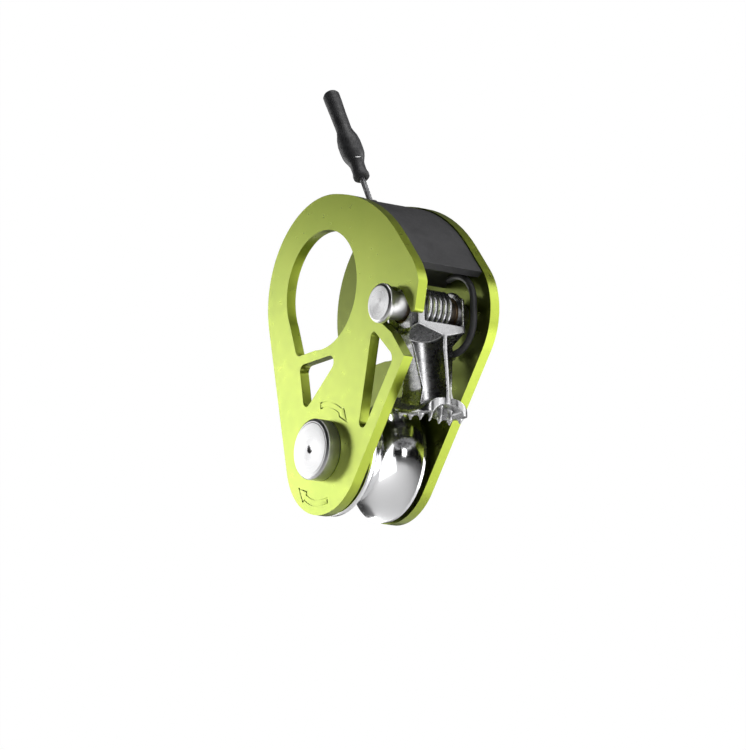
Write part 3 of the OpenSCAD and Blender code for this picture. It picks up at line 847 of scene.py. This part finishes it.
def make_handle():
    """The pull handle: a soft, slightly uneven sleeve with a bulge and a hole in its free end."""
    leave = wire_exit()
    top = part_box("toggle_handle")[1].z
    length = (top - (leave + WIRE_DIR * WIRE_OUT).z) / math.cos(WIRE_LEAN) - HANDLE_CROWN
    profile = [(r * MM, d * MM) for d, r in HANDLE_OUTLINE]
    profile += [(1.75 * MM, length - 0.5 * MM), (1.5 * MM, length - 0.08 * MM), (1.2 * MM, length)]
    profile += [(0.75 * MM, length), (0.62 * MM, length - 0.3 * MM)]
    profile += [(0.6 * MM, length - 1.2 * MM), (0, length - 1.3 * MM)]
    fine = []
    for (r0, d0), (r1, d1) in zip(profile, profile[1:]):
        parts = max(1, int(abs(d1 - d0) / HANDLE_STEP))
        fine += [(r0 + (r1 - r0) * k / parts, d0 + (d1 - d0) * k / parts) for k in range(parts)]
    fine.append(profile[-1])
    root = leave + WIRE_DIR * WIRE_OUT
    obj = lathe("handle_sleeve", fine, root, axis=WIRE_DIR, closed=False, segments=72)
    for v in obj.data.vertices:
        along = (v.co - leave).dot(WIRE_DIR)
        axis_point = leave + WIRE_DIR * along
        swell = noise.noise(v.co / (2.2 * MM)) * 0.07 * MM
        swell += noise.noise(v.co / (0.7 * MM)) * 0.02 * MM
        out = v.co - axis_point
        if out.length > 0.8 * MM:  # not in the end hole or at the wire
            v.co += out.normalized() * swell
        v.co.x -= HANDLE_SAG * max(0, along - WIRE_OUT) / length
    shade(obj, 40)
    stands_for(obj, "toggle_handle")


# ---------------------------------------------------------------- stage and camera

CAMERA_AZIMUTH, CAMERA_ELEVATION = math.radians(54.125), math.radians(-13.425)
CAMERA_ROLL = math.radians(-0.742)
CAMERA_DISTANCE = 0.88
CAMERA_TARGET = Vector((17.5, -9.85, -21.25)) * MM
CAMERA_LENS = 212.55
FLOOR_DROP, FLOOR_HALF = 0.19, 3
BACKDROP_R = 4
TOWARDS_WALL = (-0.75, 0.62, 0.2)  # the side of the room that is bright


def place_camera():
    """A camera a little below the object, in front and to its right."""
    az, el = CAMERA_AZIMUTH, CAMERA_ELEVATION
    back = Vector((math.sin(az) * math.cos(el), -math.cos(az) * math.cos(el), math.sin(el)))
    right = Vector((0, 0, 1)).cross(back).normalized()
    up = back.cross(right)
    turn = Matrix((right, up, back)).transposed() @ Matrix.Rotation(CAMERA_ROLL, 3, "Z")
    data = bpy.data.cameras.new("camera")
    data.lens = CAMERA_LENS
    data.clip_start = 0.05
    camera = bpy.data.objects.new("camera", data)
    camera.matrix_world = Matrix.Translation(CAMERA_TARGET + back * CAMERA_DISTANCE) @ turn.to_4x4()
    bpy.context.scene.collection.objects.link(camera)
    bpy.context.scene.camera = camera


def area_light(name, direction, distance, size, power):
    """A soft white panel that faces the object."""
    data = bpy.data.lights.new(name, "AREA")
    data.shape = "RECTANGLE"
    data.size, data.size_y = size
    data.energy = power
    light = bpy.data.objects.new(name, data)
    toward = Vector(direction).normalized()
    light.location = CAMERA_TARGET + toward * distance
    light.rotation_euler = toward.to_track_quat("Z", "Y").to_euler()
    bpy.context.scene.collection.objects.link(light)


def make_stage():
    """A pale floor below the object, and a white backdrop that only the camera sees."""
    floor_z = CAD_BOX[0][2] - FLOOR_DROP
    corners = [(FLOOR_HALF * x, FLOOR_HALF * y, floor_z) for x, y in ((-1, -1), (1, -1), (1, 1), (-1, 1))]
    floor = mesh_object("floor", corners, [[0, 1, 2, 3]])
    floor.data.materials.append(shader("floor_paper", (0.86, 0.86, 0.86), 0.8, Emission_Strength=0.05))
    bpy.ops.mesh.primitive_uv_sphere_add(radius=BACKDROP_R, segments=64, ring_count=32)
    dome = bpy.context.object
    dome.name = "backdrop"
    paper = shader("backdrop_paper", (0, 0, 0), 1.0)
    bsdf = paper.node_tree.nodes["Principled BSDF"]
    bsdf.inputs["Emission Color"].default_value = (1, 1, 1, 1)
    bsdf.inputs["Emission Strength"].default_value = 1.0
    dome.data.materials.append(paper)
    dome.visible_diffuse = dome.visible_glossy = dome.visible_transmission = False
    dome.visible_shadow = False


def make_light():
    """A bright wall behind the object, a darker room in front of it, and soft panels."""
    world = bpy.data.worlds.new("studio")
    world.use_nodes = True
    tree = world.node_tree
    where = tree.nodes.new("ShaderNodeTexCoord")
    toward_wall = tree.nodes.new("ShaderNodeVectorMath")
    toward_wall.operation = "DOT_PRODUCT"
    toward_wall.inputs[1].default_value = TOWARDS_WALL
    level = tree.nodes.new("ShaderNodeMapRange")
    for socket, value in (("From Min", 0.1), ("From Max", 0.75), ("To Min", 0.06), ("To Max", 1.0)):
        level.inputs[socket].default_value = value
    tree.links.new(where.outputs["Generated"], toward_wall.inputs[0])
    tree.links.new(toward_wall.outputs["Value"], level.inputs["Value"])
    tree.links.new(level.outputs["Result"], tree.nodes["Background"].inputs["Strength"])
    bpy.context.scene.world = world
    area_light("key_right", (0.8, 0.75, 0.35), 0.6, (0.35, 0.6), 1.2)
    area_light("back_right", (0.35, 0.93, 0.2), 0.6, (0.36, 0.5), 1.4)
    area_light("low_right", (0.55, 0.57, -0.5), 0.29, (0.34, 0.24), 0.4)
    area_light("front_left", (-0.93, -0.34, -0.09), 0.5, (0.36, 0.42), 1.5)
    area_light("right", (0.96, -0.25, 0.25), 0.6, (0.13, 0.36), 0.8)
    area_light("top", (0.2, 0.1, 1.0), 0.6, (0.4, 0.4), 1.6)
    bpy.context.scene.view_settings.view_transform = "Standard"


# ----------------------------------------------------------------------- build

place_camera()
make_stage()
make_light()

make_plates()
make_axle()
make_pin()
make_collar("axle_rivet_collar", "axle_collar", 0.4 * MM)
make_collar("pin_rivet_collar", "cam_pin_collar", 0.3 * MM, material=PIN_STEEL)
make_sheave()
make_rivets()
for ring, ring_node, round_over in (
    ("front_glide_washer", "front_thrust_washer", 0.1),
    ("rear_glide_washer", "rear_thrust_washer", 0.1),
    ("front_axle_spacer", "front_spacer", 0.15),
    ("rear_axle_spacer", "rear_spacer", 0.15),
    ("front_bearing_seal", "bearing_front_seal", 0.08),
    ("rear_bearing_seal", "bearing_rear_seal", 0.08),
    ("front_cam_bush", "cam_front_bush", 0.15),
    ("rear_cam_bush", "cam_rear_bush", 0.1),
):
    make_ring(ring, ring_node, round_over * MM)
make_cam()
make_spring()
make_sheath()
make_cover()
make_wire()
make_handle()

for name, node in NODES.items():
    if not node.hide_render:
        node.data.materials.clear()
        node.data.materials.append(MATERIALS[SLOT_OF[name]])
        shade(node)
